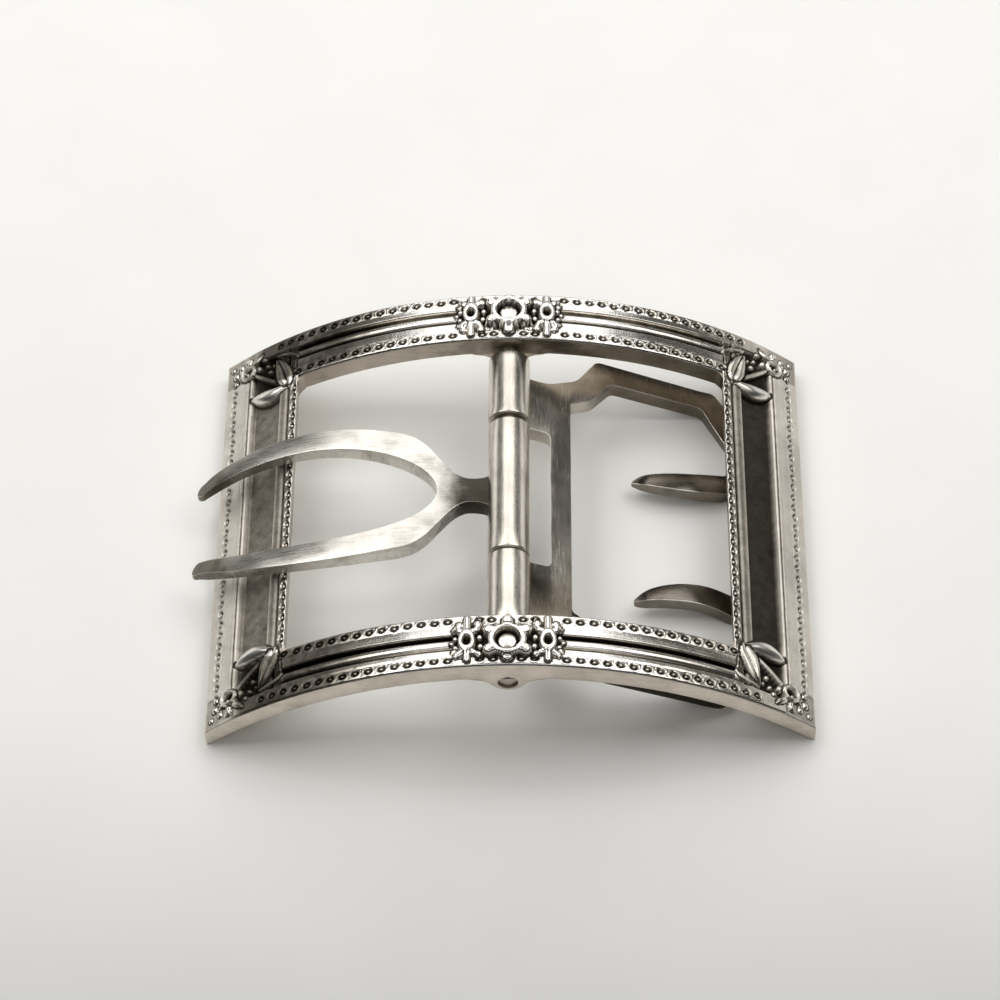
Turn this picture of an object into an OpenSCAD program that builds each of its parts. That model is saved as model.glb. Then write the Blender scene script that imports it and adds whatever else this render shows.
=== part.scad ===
// Arched dress buckle: an ornamented frame, a spindle, a forked tongue and a
// toothed chape. Millimetres. X runs over the arch, from the tongue's points to
// the chape's loop, Y along the spindle and Z up. The origin is the middle of
// the spindle, on its axis.

/* [Frame] */
// Length of the frame over the arch, seen from above
frame_length = 75; // [70:1:80]
// Width of the frame along the spindle
frame_width = 57; // [54:1:60]
// Radius of the arched top surface
arch_radius = 55; // [52:1:60]
// Height of the top of the arch above the spindle's axis
arch_rise = 4.0; // [3.9:0.1:4.4]
// Thickness of the frame, measured straight down
frame_thickness = 3.1; // [2.8:0.1:3.2]
// Width of the two long bars, which carry the spindle
long_bar_width = 7.3; // [7:0.1:7.6]
// Width of the two short bars, seen from above
short_bar_width = 10; // [9.5:0.1:10.5]

/* [Frame ornament] */
// Width of the plain bank on the inner side of each long bar's channel
inner_bank = 2.8; // [2.5:0.1:2.9]
// Width of the plain bank on the outer side of each long bar's channel
outer_bank = 2.4; // [2.2:0.1:2.5]
// Depth of the channel along each long bar
channel_depth = 0.9; // [0.6:0.1:1.2]
// Radius of the round moulding inside the channel
moulding_radius = 0.8; // [0.6:0.05:0.9]
// Depth of the sunk panel on each short bar
panel_depth = 1.0; // [0.6:0.1:1.3]
// Half the length of the flower cluster on each long bar
cluster_half = 6.9; // [6.5:0.1:7.5]
// Depth of the ground behind the flowers
cluster_depth = 0.6; // [0.4:0.1:0.9]
// Height of the large flowers above the arch
flower_height = 1.2; // [0.8:0.1:1.3]
// Height of the small flowers above the arch
small_flower_height = 0.8; // [0.5:0.1:1]

/* [Hinge] */
// Radius of the spindle
spindle_radius = 1.25; // [1.1:0.05:1.3]
// Radial clearance of the knuckles on the spindle
running_clearance = 0.06; // [0.03:0.01:0.1]
// Outer radius of the chape's two knuckles
knuckle_radius = 2.45; // [2.3:0.05:2.5]
// Distance from the middle to the inner end of each knuckle
knuckle_start = 10.3; // [10.3:0.1:10.6]
// Distance from the middle to the outer end of each knuckle
knuckle_end = 20.6; // [20.2:0.1:20.7]
// Outer radius of the tongue's barrel
barrel_radius = 2.55; // [2.4:0.05:2.6]
// Ends of the tongue's barrel along the spindle, front and back
barrel_ends = [-10.2, 9.95];

/* [Tongue] */
// Height of the top of the tongue's arched points
tongue_top = 0.5; // [0.5:0.1:0.8]
// Radius of the arched top of the tongue
tongue_top_radius = 45; // [44:1:46]
// Half the greatest width of the fork, outside
fork_half_width = 10.0; // [9.8:0.1:10.2]
// Half the greatest width of the gap in the fork
fork_gap_half = 7.15; // [7:0.05:7.3]

/* [Chape] */
// Slope of the chape's plate below the horizontal, in degrees
plate_slope = 24.5; // [24.3:0.1:24.7]
// Thickness of the plate, measured straight down
plate_thickness = 2.3; // [2:0.1:2.4]
// Thickness of the end bar, which rests on the surface below
end_bar_thickness = 1.6; // [1.5:0.1:1.7]
// Radius of the arched top of the two teeth
tooth_radius = 18; // [17.5:0.5:18.5]

/* [Hidden] */
silver = [0.60, 0.58, 0.56];
steel = [0.66, 0.65, 0.64];
nickel = [0.54, 0.53, 0.52];
$fn = 48;
corner_steps = 6;
curve_steps = 16;
tall = 60;
arch_centre_z = arch_rise - arch_radius;
half_length = frame_length / 2;
half_width = frame_width / 2;
opening_x = half_length - short_bar_width;
opening_y = half_width - long_bar_width;
panel_end = opening_y - 0.4;
// The surface that the buckle lies on: the ends of the arch have a narrow flat land
land_x = half_length - 0.4;
base_z = arch_z(land_x, arch_radius) - frame_thickness;
chape_base_z = base_z + 0.05;

// Height of an arched surface of radius r about the frame's own arch axis
function arch_z(x, r) = arch_centre_z + sqrt(r * r - x * x);

// Half a width on an ellipse of the given centre, length and breadth
function ellipse_y(x, centre, reach, breadth) =
    breadth * sqrt(max(0, 1 - pow((x - centre) / reach, 2)));

function xy(p) = [p[0], p[1]];

// The corner q between p and s, rounded by radius r
function rounded_corner(p, q, s, r) =
    let (
        a = (p - q) / norm(p - q),
        b = (s - q) / norm(s - q),
        half = acos(a * b) / 2,
        centre = q + (a + b) / norm(a + b) * r / sin(half),
        first = q + a * r / tan(half) - centre,
        last = q + b * r / tan(half) - centre,
        turn = first[0] * last[1] > first[1] * last[0] ? 1 : -1,
        start = atan2(first[1], first[0]),
        sweep = turn * (180 - 2 * half)
    )
    [for (i = [0:corner_steps])
        centre + r * [cos(start + sweep * i / corner_steps), sin(start + sweep * i / corner_steps)]];

// A closed outline whose points are [x, y, radius of the corner]
function rounded(path) =
    let (n = len(path))
    [for (i = [0:n - 1])
        each path[i][2] > 0
            ? rounded_corner(xy(path[(i + n - 1) % n]), xy(path[i]), xy(path[(i + 1) % n]), path[i][2])
            : [xy(path[i])]];

function flipped(path) = [for (i = [len(path) - 1:-1:0]) [path[i][0], -path[i][1], path[i][2]]];

// An outline drawn in X and Z, extruded along Y between two places
module along_y(from, to) {
    translate([0, to, 0])
        rotate([90, 0, 0])
            linear_extrude(height = to - from)
                children();
}

// A plain cylinder about an axis along Y
module bar_y(radius, from, to, z = 0) {
    translate([0, to, z])
        rotate([90, 0, 0])
            cylinder(r = radius, h = to - from);
}

// A tube blank about the spindle's axis with softened ends
module barrel_blank(radius, from, to) {
    soft = 0.25;
    bar_y(radius, from + soft, to - soft);
    translate([0, to, 0])
        rotate([90, 0, 0])
            cylinder(r1 = radius - soft, r2 = radius, h = soft);
    translate([0, from + soft, 0])
        rotate([90, 0, 0])
            cylinder(r1 = radius, r2 = radius - soft, h = soft);
}

module arch_cylinder(r, lowered = 0) {
    rotate([90, 0, 0])
        translate([0, arch_centre_z - lowered, 0])
            cylinder(r = r, h = 2 * frame_width, center = true, $fn = 240);
}

// Everything above the arch sunk by a depth, between two places in X and in Y
module sunk(x, y, depth) {
    difference() {
        translate([x[0], y[0], base_z])
            cube([x[1] - x[0], y[1] - y[0], tall]);
        arch_cylinder(arch_radius - depth);
    }
}

// The upright shape of the children, cut off at the arch raised by a height
module up_to_arch(raised = 0) {
    intersection() {
        linear_extrude(height = tall, center = true)
            children();
        difference() {
            arch_cylinder(arch_radius + raised);
            arch_cylinder(arch_radius - frame_thickness / 2);
        }
    }
}

module frame_opening() {
    edge = 0.3;
    translate([0, 0, -tall / 2])
        linear_extrude(height = tall)
            polygon(rounded([
                [opening_x, opening_y, 1],
                [-opening_x, opening_y, 1],
                [-opening_x, -opening_y, 1],
                [opening_x, -opening_y, 1]
            ]));
    for (side = [-1, 1])
        sunk([side * opening_x - edge, side * opening_x + edge], [-opening_y, opening_y], edge);
}

module frame_plate() {
    difference() {
        intersection() {
            translate([-half_length, -half_width, base_z])
                cube([frame_length, frame_width, tall]);
            arch_cylinder(arch_radius);
        }
        arch_cylinder(arch_radius, frame_thickness);
        frame_opening();
    }
}

// The channels on the long bars and the sunk panels on the short bars
module frame_sinkings() {
    channel = [opening_y + inner_bank, half_width - outer_bank];
    panel = [opening_x + 3.1, half_length - 3.1];
    strip = [opening_x + 1.3, opening_x + 3.1];
    for (side_x = [0, 1], side_y = [0, 1])
        mirror([side_x, 0, 0])
            mirror([0, side_y, 0])
                sunk([cluster_half, opening_x + 0.6], channel, channel_depth);
    for (side_x = [0, 1])
        mirror([side_x, 0, 0]) {
            sunk(panel, [-panel_end, panel_end], panel_depth);
            sunk(strip, [-panel_end, panel_end], panel_depth - 0.2);
        }
    for (side_y = [0, 1])
        mirror([0, side_y, 0])
            sunk([-cluster_half, cluster_half], channel - [1.2, -0.9], cluster_depth);
}

// The round moulding that follows the arch in each long bar's channel
module long_mouldings() {
    ring = arch_radius - channel_depth;
    middle = (opening_y + inner_bank + half_width - outer_bank) / 2;
    for (side_x = [0, 1], side_y = [0, 1])
        mirror([side_x, 0, 0])
            mirror([0, side_y, 0])
                intersection() {
                    translate([0, middle, arch_centre_z])
                        rotate([90, 0, 0])
                            rotate_extrude($fn = 240)
                                translate([ring, 0])
                                    circle(r = moulding_radius, $fn = 24);
                    translate([cluster_half - 0.1, opening_y, base_z])
                        cube([opening_x + 0.7 - cluster_half, long_bar_width, tall]);
                }
}

// The raised strip beside the sunk panel of each short bar
module short_mouldings() {
    foot = [opening_x + 1.2, opening_x + 3.2];
    crest = [opening_x + 1.75, opening_x + 2.65];
    for (side_x = [0, 1])
        mirror([side_x, 0, 0])
            along_y(-panel_end - 0.3, panel_end + 0.3)
                polygon([
                    [foot[0], arch_z(foot[0], arch_radius - 2)],
                    [foot[0], arch_z(foot[0], arch_radius - 0.9)],
                    [crest[0], arch_z(crest[0], arch_radius - 0.15)],
                    [crest[1], arch_z(crest[1], arch_radius - 0.15)],
                    [foot[1], arch_z(foot[1], arch_radius - 1.1)],
                    [foot[1], arch_z(foot[1], arch_radius - 2)]
                ]);
}

// A flower: a pierced disc with a ring of knobs about it
module flower(x, y, disc_r, hole_r, knob_r, spread_x, spread_y, knobs, proud) {
    knob_drop = 0.35;
    foot_z = arch_z(x, arch_radius - frame_thickness / 2);
    top_z = arch_z(x, arch_radius + proud);
    translate([x, y, foot_z])
        difference() {
            cylinder(r = disc_r, h = top_z - foot_z);
            translate([0, 0, top_z - foot_z - 0.6])
                cylinder(r = hole_r, h = 1);
        }
    for (i = [0:knobs - 1]) {
        turn = 90 + i * 360 / knobs;
        knob_x = x + spread_x * cos(turn);
        height = arch_z(knob_x, arch_radius + proud - knob_drop) - foot_z;
        translate([knob_x, y + spread_y * sin(turn), foot_z])
            rotate_extrude($fn = 24)
                polygon([[0, 0], [knob_r, 0], [knob_r, height - knob_r / 2], [knob_r / 2, height], [0, height]]);
    }
}

module clusters() {
    middle = (opening_y + half_width) / 2 + 0.3;
    for (side_y = [-1, 1]) {
        flower(0, side_y * middle, 2.0, 1.4, 0.75, 2.6, 2.5, 6, flower_height);
        for (side_x = [-1, 1])
            flower(side_x * 5, side_y * middle, 0.95, 0.45, 0.55, 1.35, 2.2, 6, small_flower_height);
    }
}

// Two leaves and a small flower at each corner of the frame
module corner_ornament() {
    long_leaf = [[opening_x + 1.2, opening_y - 1.0, 0.3], [opening_x + 3.0, opening_y + 1.1, 3],
        [opening_x + 3.4, opening_y + 4.6, 0.4], [opening_x + 0.9, opening_y + 2.2, 2]];
    cross_leaf = [[opening_x + 2.0, opening_y - 0.7, 0.3], [opening_x + 3.9, opening_y - 2.7, 2],
        [opening_x + 6.4, opening_y - 0.6, 0.4], [opening_x + 4.4, opening_y + 1.2, 2]];
    proud = 0.2;
    up_to_arch(proud)
        polygon(rounded(long_leaf));
    up_to_arch(proud)
        polygon(rounded(cross_leaf));
    up_to_arch(proud)
        translate([half_length - 3.0, half_width - 3.1])
            circle(r = 1.0);
}

// The two bosses under the long bars, which hold the spindle's ends
module bosses() {
    under = arch_rise - frame_thickness;
    half = [[4.2, under + 0.6, 0], [4.2, under - 0.25, 0], [2.0, under - 0.35, 1.4], [1.65, -1.9, 0.8]];
    outline = concat(half, [for (i = [len(half) - 1:-1:0]) [-half[i][0], half[i][1], half[i][2]]]);
    for (side_y = [0, 1])
        mirror([0, side_y, 0])
            along_y(opening_y, half_width)
                polygon(rounded(outline));
}

module frame() {
    color(silver)
        difference() {
            union() {
                difference() {
                    frame_plate();
                    frame_sinkings();
                }
                long_mouldings();
                short_mouldings();
                clusters();
                for (side_x = [0, 1], side_y = [0, 1])
                    mirror([side_x, 0, 0])
                        mirror([0, side_y, 0])
                            corner_ornament();
                bosses();
            }
            bar_y(spindle_radius, -half_width - 1, half_width + 1);
        }
}

// A plain pin pressed into both bosses, its ends just below their faces
module spindle() {
    sunk_end = 0.15;
    dome = 0.3;
    color(steel) {
        bar_y(spindle_radius, dome + sunk_end - half_width, half_width - dome - sunk_end);
        for (side_y = [0, 1])
            mirror([0, side_y, 0])
                translate([0, half_width - sunk_end, 0])
                    rotate([90, 0, 0])
                        cylinder(r1 = spindle_radius - dome, r2 = spindle_radius, h = dome);
    }
}

// The tongue seen from above: a neck that divides into two long points
module tongue_plan() {
    outer_centre = -24;
    outer_reach = 21.3;
    gap_centre = -26;
    gap_reach = 17;
    gap_reach_far = 19.5;
    crotch_x = gap_centre + gap_reach;
    point_x = -39.4;
    first_x = -16;
    point_r = 0.8;
    neck = [[0, 3.3, 0], [-3.3, 1.8, 1.4], [-5.9, 1.8, 3.2], [-11.6, 8.4, 9]];
    outer = [for (i = [0:curve_steps])
        let (x = first_x + (point_x - first_x) * i / curve_steps)
        [x, ellipse_y(x, outer_centre, outer_reach, fork_half_width), 0]];
    inner_far = ellipse_y(point_x, gap_centre, gap_reach_far, fork_gap_half);
    outer_far = ellipse_y(point_x, outer_centre, outer_reach, fork_half_width);
    point_y = (inner_far + outer_far) / 2;
    point = [for (i = [1:5]) [point_x - point_r * sin(i * 30), point_y + point_r * cos(i * 30), 0]];
    far_side = [for (i = [0:8])
        let (x = point_x + (gap_centre - point_x) * i / 8)
        [x, ellipse_y(x, gap_centre, gap_reach_far, fork_gap_half), 0]];
    near_side = [for (i = [1:11])
        [gap_centre + gap_reach * sin(i * 90 / 12), fork_gap_half * cos(i * 90 / 12), 0]];
    half = concat(neck, outer, point, far_side, near_side);
    polygon(rounded(concat(half, [[crotch_x, 0, 0]], flipped(half))));
}

// The tongue seen from the side: a level neck, then points that arch down over the bar
module tongue_side() {
    top_x = -14;
    under_x = -17;
    under_z = -1.83;
    under_radius = 38;
    point_x = -41;
    top = [for (i = [0:curve_steps])
        let (x = top_x + (point_x - top_x) * i / curve_steps)
        [x, tongue_top - tongue_top_radius + sqrt(pow(tongue_top_radius, 2) - pow(x - top_x, 2))]];
    under = [for (i = [curve_steps:-1:0])
        let (x = under_x + (point_x - under_x) * i / curve_steps)
        [x, under_z - under_radius + sqrt(pow(under_radius, 2) - pow(x - under_x, 2))]];
    polygon(concat([[0, 0.1]], top, under, [[-9, -2.2], [-3, -2.5], [0, -2.5]]));
}

module tongue() {
    color(nickel)
        difference() {
            union() {
                intersection() {
                    linear_extrude(height = tall, center = true)
                        tongue_plan();
                    along_y(-fork_half_width - 1, fork_half_width + 1)
                        tongue_side();
                }
                barrel_blank(barrel_radius, barrel_ends[0], barrel_ends[1]);
            }
            bar_y(spindle_radius + running_clearance, -half_width, half_width);
        }
}

// The chape seen from above: a plate with a slot for the tongue, and a six-sided loop
module chape_plan() {
    plate_end_y = 18.3;
    slot_x = 5.2;
    spine_x = 7.8;
    loop_end_x = 31.8;
    bar_x = 29;
    outside = [[0.5, plate_end_y, 0], [5, plate_end_y, 4], [8.6, 20, 3], [11.2, 24.1, 1.2],
        [26.6, 23.9, 1.2], [loop_end_x, 16.2, 1.5]];
    slot = [[slot_x, knuckle_start, 0.8], [0.5, knuckle_start, 0]];
    inside = [[spine_x, 16.1, 0.6], [10.3, 17.4, 3], [13, 21, 1.2], [24.9, 21.1, 1.2], [bar_x, 13.6, 1]];
    difference() {
        polygon(rounded(concat(outside, flipped(outside), flipped(slot), slot)));
        polygon(rounded(concat(inside, flipped(inside))));
    }
}

// The chape seen from the side: a sloping plate whose far end flattens onto the surface below
module chape_side() {
    slot_x = 5.2;
    slot_z = -1.94;
    bend_radius = 12;
    end_x = 33;
    fall = tan(plate_slope);
    end_top = chape_base_z + end_bar_thickness;
    bend_z = end_top + bend_radius * (1 - cos(plate_slope));
    bend_x = slot_x + (slot_z - bend_z) / fall;
    flat_x = bend_x + bend_radius * sin(plate_slope);
    bend = [for (i = [0:8])
        let (turn = plate_slope * (1 - i / 8))
        [flat_x - bend_radius * sin(turn), end_top + bend_radius * (1 - cos(turn))]];
    under_x = slot_x + (slot_z - plate_thickness - chape_base_z) / fall;
    polygon(concat(
        [[0.5, slot_z + (slot_x - 0.5) * fall]],
        bend,
        [[end_x, end_top], [end_x, chape_base_z], [under_x, chape_base_z],
            [0.5, slot_z - plate_thickness + (slot_x - 0.5) * fall]]
    ));
}

// One tooth from above: a claw that grows out of the end bar towards the spindle
module tooth_plan() {
    polygon(rounded([
        [30.5, 12.4, 0], [24, 10.3, 8], [19, 10.1, 3], [15.6, 9.7, 0.4],
        [15.6, 9.0, 0.4], [19.5, 7.2, 5], [24.5, 6.9, 6], [30.5, 8.8, 0]
    ]));
}

// One tooth from the side: it arches up off the end bar and down again to its point
module tooth_side() {
    top_x = 19.5;
    top_z = -9.45;
    thickness = 2.0;
    point_x = 15.5;
    root_x = 30.4;
    inner_radius = tooth_radius - thickness;
    top = [for (i = [0:12])
        let (x = point_x + (root_x - point_x) * i / 12)
        [x, max(chape_base_z + 1, top_z - tooth_radius + sqrt(pow(tooth_radius, 2) - pow(x - top_x, 2)))]];
    under = [for (i = [12:-1:1])
        let (x = point_x + (root_x - point_x) * i / 12)
        [x, max(chape_base_z, top_z - tooth_radius + sqrt(pow(inner_radius, 2) - pow(x - top_x, 2)))]];
    polygon(concat(top, under, [[point_x, top_z - 1.1]]));
}

module chape() {
    color(nickel)
        difference() {
            union() {
                intersection() {
                    linear_extrude(height = tall, center = true)
                        chape_plan();
                    along_y(-half_width, half_width)
                        chape_side();
                }
                for (side_y = [0, 1])
                    mirror([0, side_y, 0]) {
                        intersection() {
                            linear_extrude(height = tall, center = true)
                                tooth_plan();
                            along_y(5, 14)
                                tooth_side();
                        }
                        barrel_blank(knuckle_radius, knuckle_start, knuckle_end);
                    }
            }
            bar_y(spindle_radius + running_clearance, -half_width, half_width);
        }
}

frame();
spindle();
tongue();
chape();
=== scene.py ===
import math

import bmesh
import bpy
import numpy as np
from mathutils import Matrix, Vector


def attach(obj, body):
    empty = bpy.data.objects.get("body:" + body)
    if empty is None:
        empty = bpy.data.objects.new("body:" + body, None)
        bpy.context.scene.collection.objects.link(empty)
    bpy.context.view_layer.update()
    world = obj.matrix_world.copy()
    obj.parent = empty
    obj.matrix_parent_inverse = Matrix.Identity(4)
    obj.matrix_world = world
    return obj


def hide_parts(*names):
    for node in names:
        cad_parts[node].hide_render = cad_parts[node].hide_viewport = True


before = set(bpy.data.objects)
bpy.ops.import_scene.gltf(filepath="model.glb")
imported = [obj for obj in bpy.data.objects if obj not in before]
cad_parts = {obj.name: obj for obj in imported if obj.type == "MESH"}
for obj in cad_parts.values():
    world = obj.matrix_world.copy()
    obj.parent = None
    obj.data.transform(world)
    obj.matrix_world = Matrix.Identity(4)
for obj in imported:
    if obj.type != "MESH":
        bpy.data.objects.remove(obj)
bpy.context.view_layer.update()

# Sizes in millimetres, as in the CAD source. Every mesh is scaled to metres when it is made.
MM = 0.001
ARCH_R = 55.0
ARCH_Z = -51.0
THICK = 3.1
HALF_L = 37.5
HALF_W = 28.5
OPEN_X = 27.5
OPEN_Y = 21.2
EDGE = 0.3
END_A = ARCH_R * math.asin(HALF_L / ARCH_R)
OPEN_A = ARCH_R * math.asin(OPEN_X / ARCH_R)
BASE_Z = ARCH_Z + math.sqrt(ARCH_R ** 2 - (HALF_L - 0.4) ** 2) - THICK
OPEN_CORNER_R = 1.0
BOSS_X = 4.7
SPINDLE_R = 1.25
BORE_R = 1.31

# The frame's relief is laid out over one quarter and mirrored. There, a is the distance along the arch
# from the spindle, and b is the distance across it from the middle of the buckle.
NOWHERE = -9.0
LOW_GROUND = 0.2
SAME_POINT = 1e-4
BEAD_R = 0.34
CUP_R = 0.58

# Across the long bar
LONG_INNER_BEADS = 22.08
LONG_OUTER_BEADS = 27.62
CHANNEL_START = (23.95, 24.15)
CHANNEL_END = (26.0, 26.2)
CHANNEL_DEPTH = 0.95
MOULDING_B = 25.1
MOULDING_R = 0.77
MOULDING_SUNK = 0.93

# Along the arch over the short bar. The grooves are (place, depth, width)
SHORT_INNER_BEADS = 29.3
SHORT_OUTER_BEADS = 39.62
STRIP_A = 31.2
PANEL_START = (30.05, 30.2)
PANEL_END = (36.4, 36.62)
PANEL_DEPTH = 1.0
SHORT_GROOVES = [(37.0, 0.32, 0.1), (37.68, 0.1, 0.1), (38.95, 0.05, 0.1), (38.3, 0.1, 0.5)]

# The flowers. Lumps are (a, b, radius, top), and leaves and petals are lists of (a, b, half width, top)
CLUSTER_BEADS = [(1.75, 27.6), (3.35, 27.6), (1.9, 22.0), (3.35, 21.95)]
SMALL_FLOWER = (4.85, 25.2)
CLUSTER_LUMPS = [
    (3.35, 24.5, 0.42, 0.1), (3.25, 25.75, 0.42, 0.1), (6.3, 24.55, 0.36, 0.05), (6.25, 25.85, 0.4, 0.05),
    (3.6, 22.7, 0.55, 0.4), (3.45, 27.0, 0.52, 0.38), (5.8, 22.75, 0.5, 0.36), (5.75, 26.95, 0.5, 0.36),
    (2.75, 23.4, 0.4, 0.3), (6.35, 23.5, 0.42, 0.2), (6.4, 26.45, 0.4, 0.18), (6.75, 25.2, 0.32, 0.05)]
LEAVES = [
    [(30.4, 20.6, 0.35, -0.05), (31.5, 20.35, 0.55, 0.15), (32.6, 20.1, 0.9, 0.35),
     (33.8, 20.05, 1.08, 0.42), (35.0, 20.25, 0.95, 0.32), (36.0, 20.5, 0.6, 0.08), (36.75, 20.7, 0.2, -0.3)],
    [(30.2, 20.5, 0.4, 0.0), (30.1, 21.6, 0.62, 0.28), (30.6, 23.0, 0.66, 0.35), (31.4, 24.3, 0.5, 0.22),
     (32.4, 25.4, 0.18, -0.1)],
    [(30.8, 20.7, 0.4, 0.0), (31.5, 21.8, 0.66, 0.32), (31.85, 23.0, 0.6, 0.35), (32.1, 24.2, 0.42, 0.22),
     (32.5, 25.4, 0.18, -0.1)]]
CORNER_LUMPS = [
    (35.5, 25.2, 0.55, 0.2), (34.5, 26.3, 0.42, 0.14), (38.7, 27.0, 0.5, 0.14), (39.6, 26.0, 0.6, 0.18),
    (40.2, 27.3, 0.45, 0.1), (39.5, 24.7, 0.5, 0.12)]
CORNER_PETALS = [
    [(36.3, 26.4, 0.42, 0.22), (35.6, 26.8, 0.5, 0.26), (34.9, 27.3, 0.36, 0.08)],
    [(38.2, 26.0, 0.42, 0.22), (38.7, 26.3, 0.36, 0.14)],
    [(37.2, 26.5, 0.36, 0.2), (37.1, 27.3, 0.4, 0.2), (37.7, 27.5, 0.26, 0.08)]]


def arch_z(x):
    """Height of the arch that the frame's top follows."""
    return ARCH_Z + np.sqrt(ARCH_R ** 2 - np.square(x))


def smooth(low, high, v):
    """A soft step from 0 to 1 between two places."""
    t = np.clip((v - low) / (high - low), 0, 1)
    return t * t * (3 - 2 * t)


def new_object(name, bm, material, body, smooth_angle=None):
    mesh = bpy.data.meshes.new(name)
    bm.to_mesh(mesh)
    bm.free()
    return add_mesh(name, mesh, material, body, smooth_angle)


def add_mesh(name, mesh, material, body, smooth_angle=None):
    obj = bpy.data.objects.new(name, mesh)
    bpy.context.scene.collection.objects.link(obj)
    mesh.materials.append(material)
    mesh.polygons.foreach_set("use_smooth", [True] * len(mesh.polygons))
    if smooth_angle is not None:
        mesh.set_sharp_from_angle(angle=math.radians(smooth_angle))
    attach(obj, body)
    return obj


# ---------------------------------------------------------------- frame relief

def arc_z(x, centre_x, centre_z, radius):
    """Height of an arc above its centre."""
    return centre_z + math.sqrt(radius ** 2 - (x - centre_x) ** 2)


def edge_round(d):
    """Height of a rounded edge, from the distance to it."""
    d = np.clip(d, 0, EDGE)
    return np.sqrt(np.maximum(EDGE * EDGE - np.square(EDGE - d), 0)) - EDGE


def bump(v, middle, width):
    """One at the middle, fading to nothing on both sides."""
    return np.exp(-np.square((v - middle) / width))


def stroke(a, b, nodes, flat=3.0):
    """Height and nearness of a rounded ridge along nodes of (a, b, half width, top height)."""
    high = np.full(a.shape, NOWHERE)
    near = np.full(a.shape, np.inf)
    for (a0, b0, w0, t0), (a1, b1, w1, t1) in zip(nodes, nodes[1:]):
        da, db = a1 - a0, b1 - b0
        t = np.clip(((a - a0) * da + (b - b0) * db) / (da * da + db * db), 0, 1)
        d = np.hypot(a - a0 - t * da, b - b0 - t * db)
        w = w0 + (w1 - w0) * t
        q = np.minimum(d / w, 1)
        top = t0 + (t1 - t0) * t
        depth = np.minimum(1.15 * w, 1.0)
        fall = 1 - np.sqrt(np.maximum(1 - np.power(q, flat), 0))
        lift = np.where(d < w, top - depth * fall, NOWHERE)
        high = np.maximum(high, lift)
        near = np.minimum(near, d / w)
    return high, near


def curve(points, count=6):
    """A smooth line through points, with a count of steps between each two of them."""
    p = [np.array(q, float) for q in points]
    p = [2 * p[0] - p[1]] + p + [2 * p[-1] - p[-2]]
    out = []
    for i in range(1, len(p) - 2):
        for k in range(count):
            t = k / count
            out.append(0.5 * (2 * p[i] + (p[i + 1] - p[i - 1]) * t
                              + (2 * p[i - 1] - 5 * p[i] + 4 * p[i + 1] - p[i + 2]) * t * t
                              + (3 * p[i] - p[i - 1] - 3 * p[i + 1] + p[i + 2]) * t ** 3))
    out.append(p[-2])
    return [tuple(float(c) for c in q) for q in out]


def evenly(start, end, gap):
    """Places a gap apart, from the start and short of the end."""
    out = []
    while start < end:
        out.append(start)
        start += gap
    return out


def bead_rows():
    """Places of the beads in one quarter of the frame, as (a, b, whether the row runs along a)."""
    rows = [(a, LONG_OUTER_BEADS - 0.2 * smooth(20, 32, a), 1) for a in evenly(7.15, 33.5, 1.65)]
    rows += [(a, LONG_INNER_BEADS, 1) for a in evenly(7.25, 28.0, 1.64)]
    rows += [(a, b, 1) for a, b in CLUSTER_BEADS]
    rows += [(SHORT_OUTER_BEADS, b, 0) for b in evenly(0.79, 24.6, 1.58)]
    rows += [(SHORT_INNER_BEADS, b, 0) for b in evenly(0.78, 20.9, 1.56)]
    rows.append((28.75, 21.95, 1))
    return rows


def band(v, start, end):
    """One between two places and nothing outside them. It blends over each place's (low, high)."""
    return smooth(*start, v) - smooth(*end, v)


def long_bar(b):
    """Height and darkness across a long bar: bead band, bank, channel with its moulding, bank, bead band."""
    channel = band(b, CHANNEL_START, CHANNEL_END)
    crown = np.sqrt(np.maximum(MOULDING_R ** 2 - np.square(b - MOULDING_B), 0))
    height = np.maximum(-CHANNEL_DEPTH * channel, np.where(crown > 0, crown - MOULDING_SUNK, NOWHERE))
    for place in (22.72, 27.05):
        height = height - 0.07 * bump(b, place, 0.08)
    dark = channel * (1 - smooth(-0.55, -0.28, height)) * (1 - 0.5 * smooth(25.3, 25.6, b))
    return height, dark


def short_bar(a):
    """Height and darkness over a short bar: bead band, groove, strip, panel, two ridges, bead band."""
    panel = band(a, PANEL_START, PANEL_END)
    strip_nodes = [(STRIP_A, -1, 0.78, -0.12), (STRIP_A, 1, 0.78, -0.12)]
    strip = stroke(a, np.zeros_like(a), strip_nodes, 3.4)[0]
    strip = np.where(np.abs(a - STRIP_A) < 0.74, np.maximum(strip, -0.8), NOWHERE)
    height = np.maximum(-PANEL_DEPTH * panel, strip)
    for place, depth, width in SHORT_GROOVES:
        height = height - depth * bump(a, place, width)
    dark = 0.5 * panel * (1 - smooth(-0.85, -0.5, height))
    dark = dark + 0.42 * bump(a, 31.05, 0.5)
    dark = dark + 0.46 * (1 - smooth(29.9, 30.1, a))
    dark = dark + 0.5 * band(a, PANEL_START, (30.4, 30.6))
    dark = dark + 0.7 * bump(a, 37.0, 0.12)
    return height, dark


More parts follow.
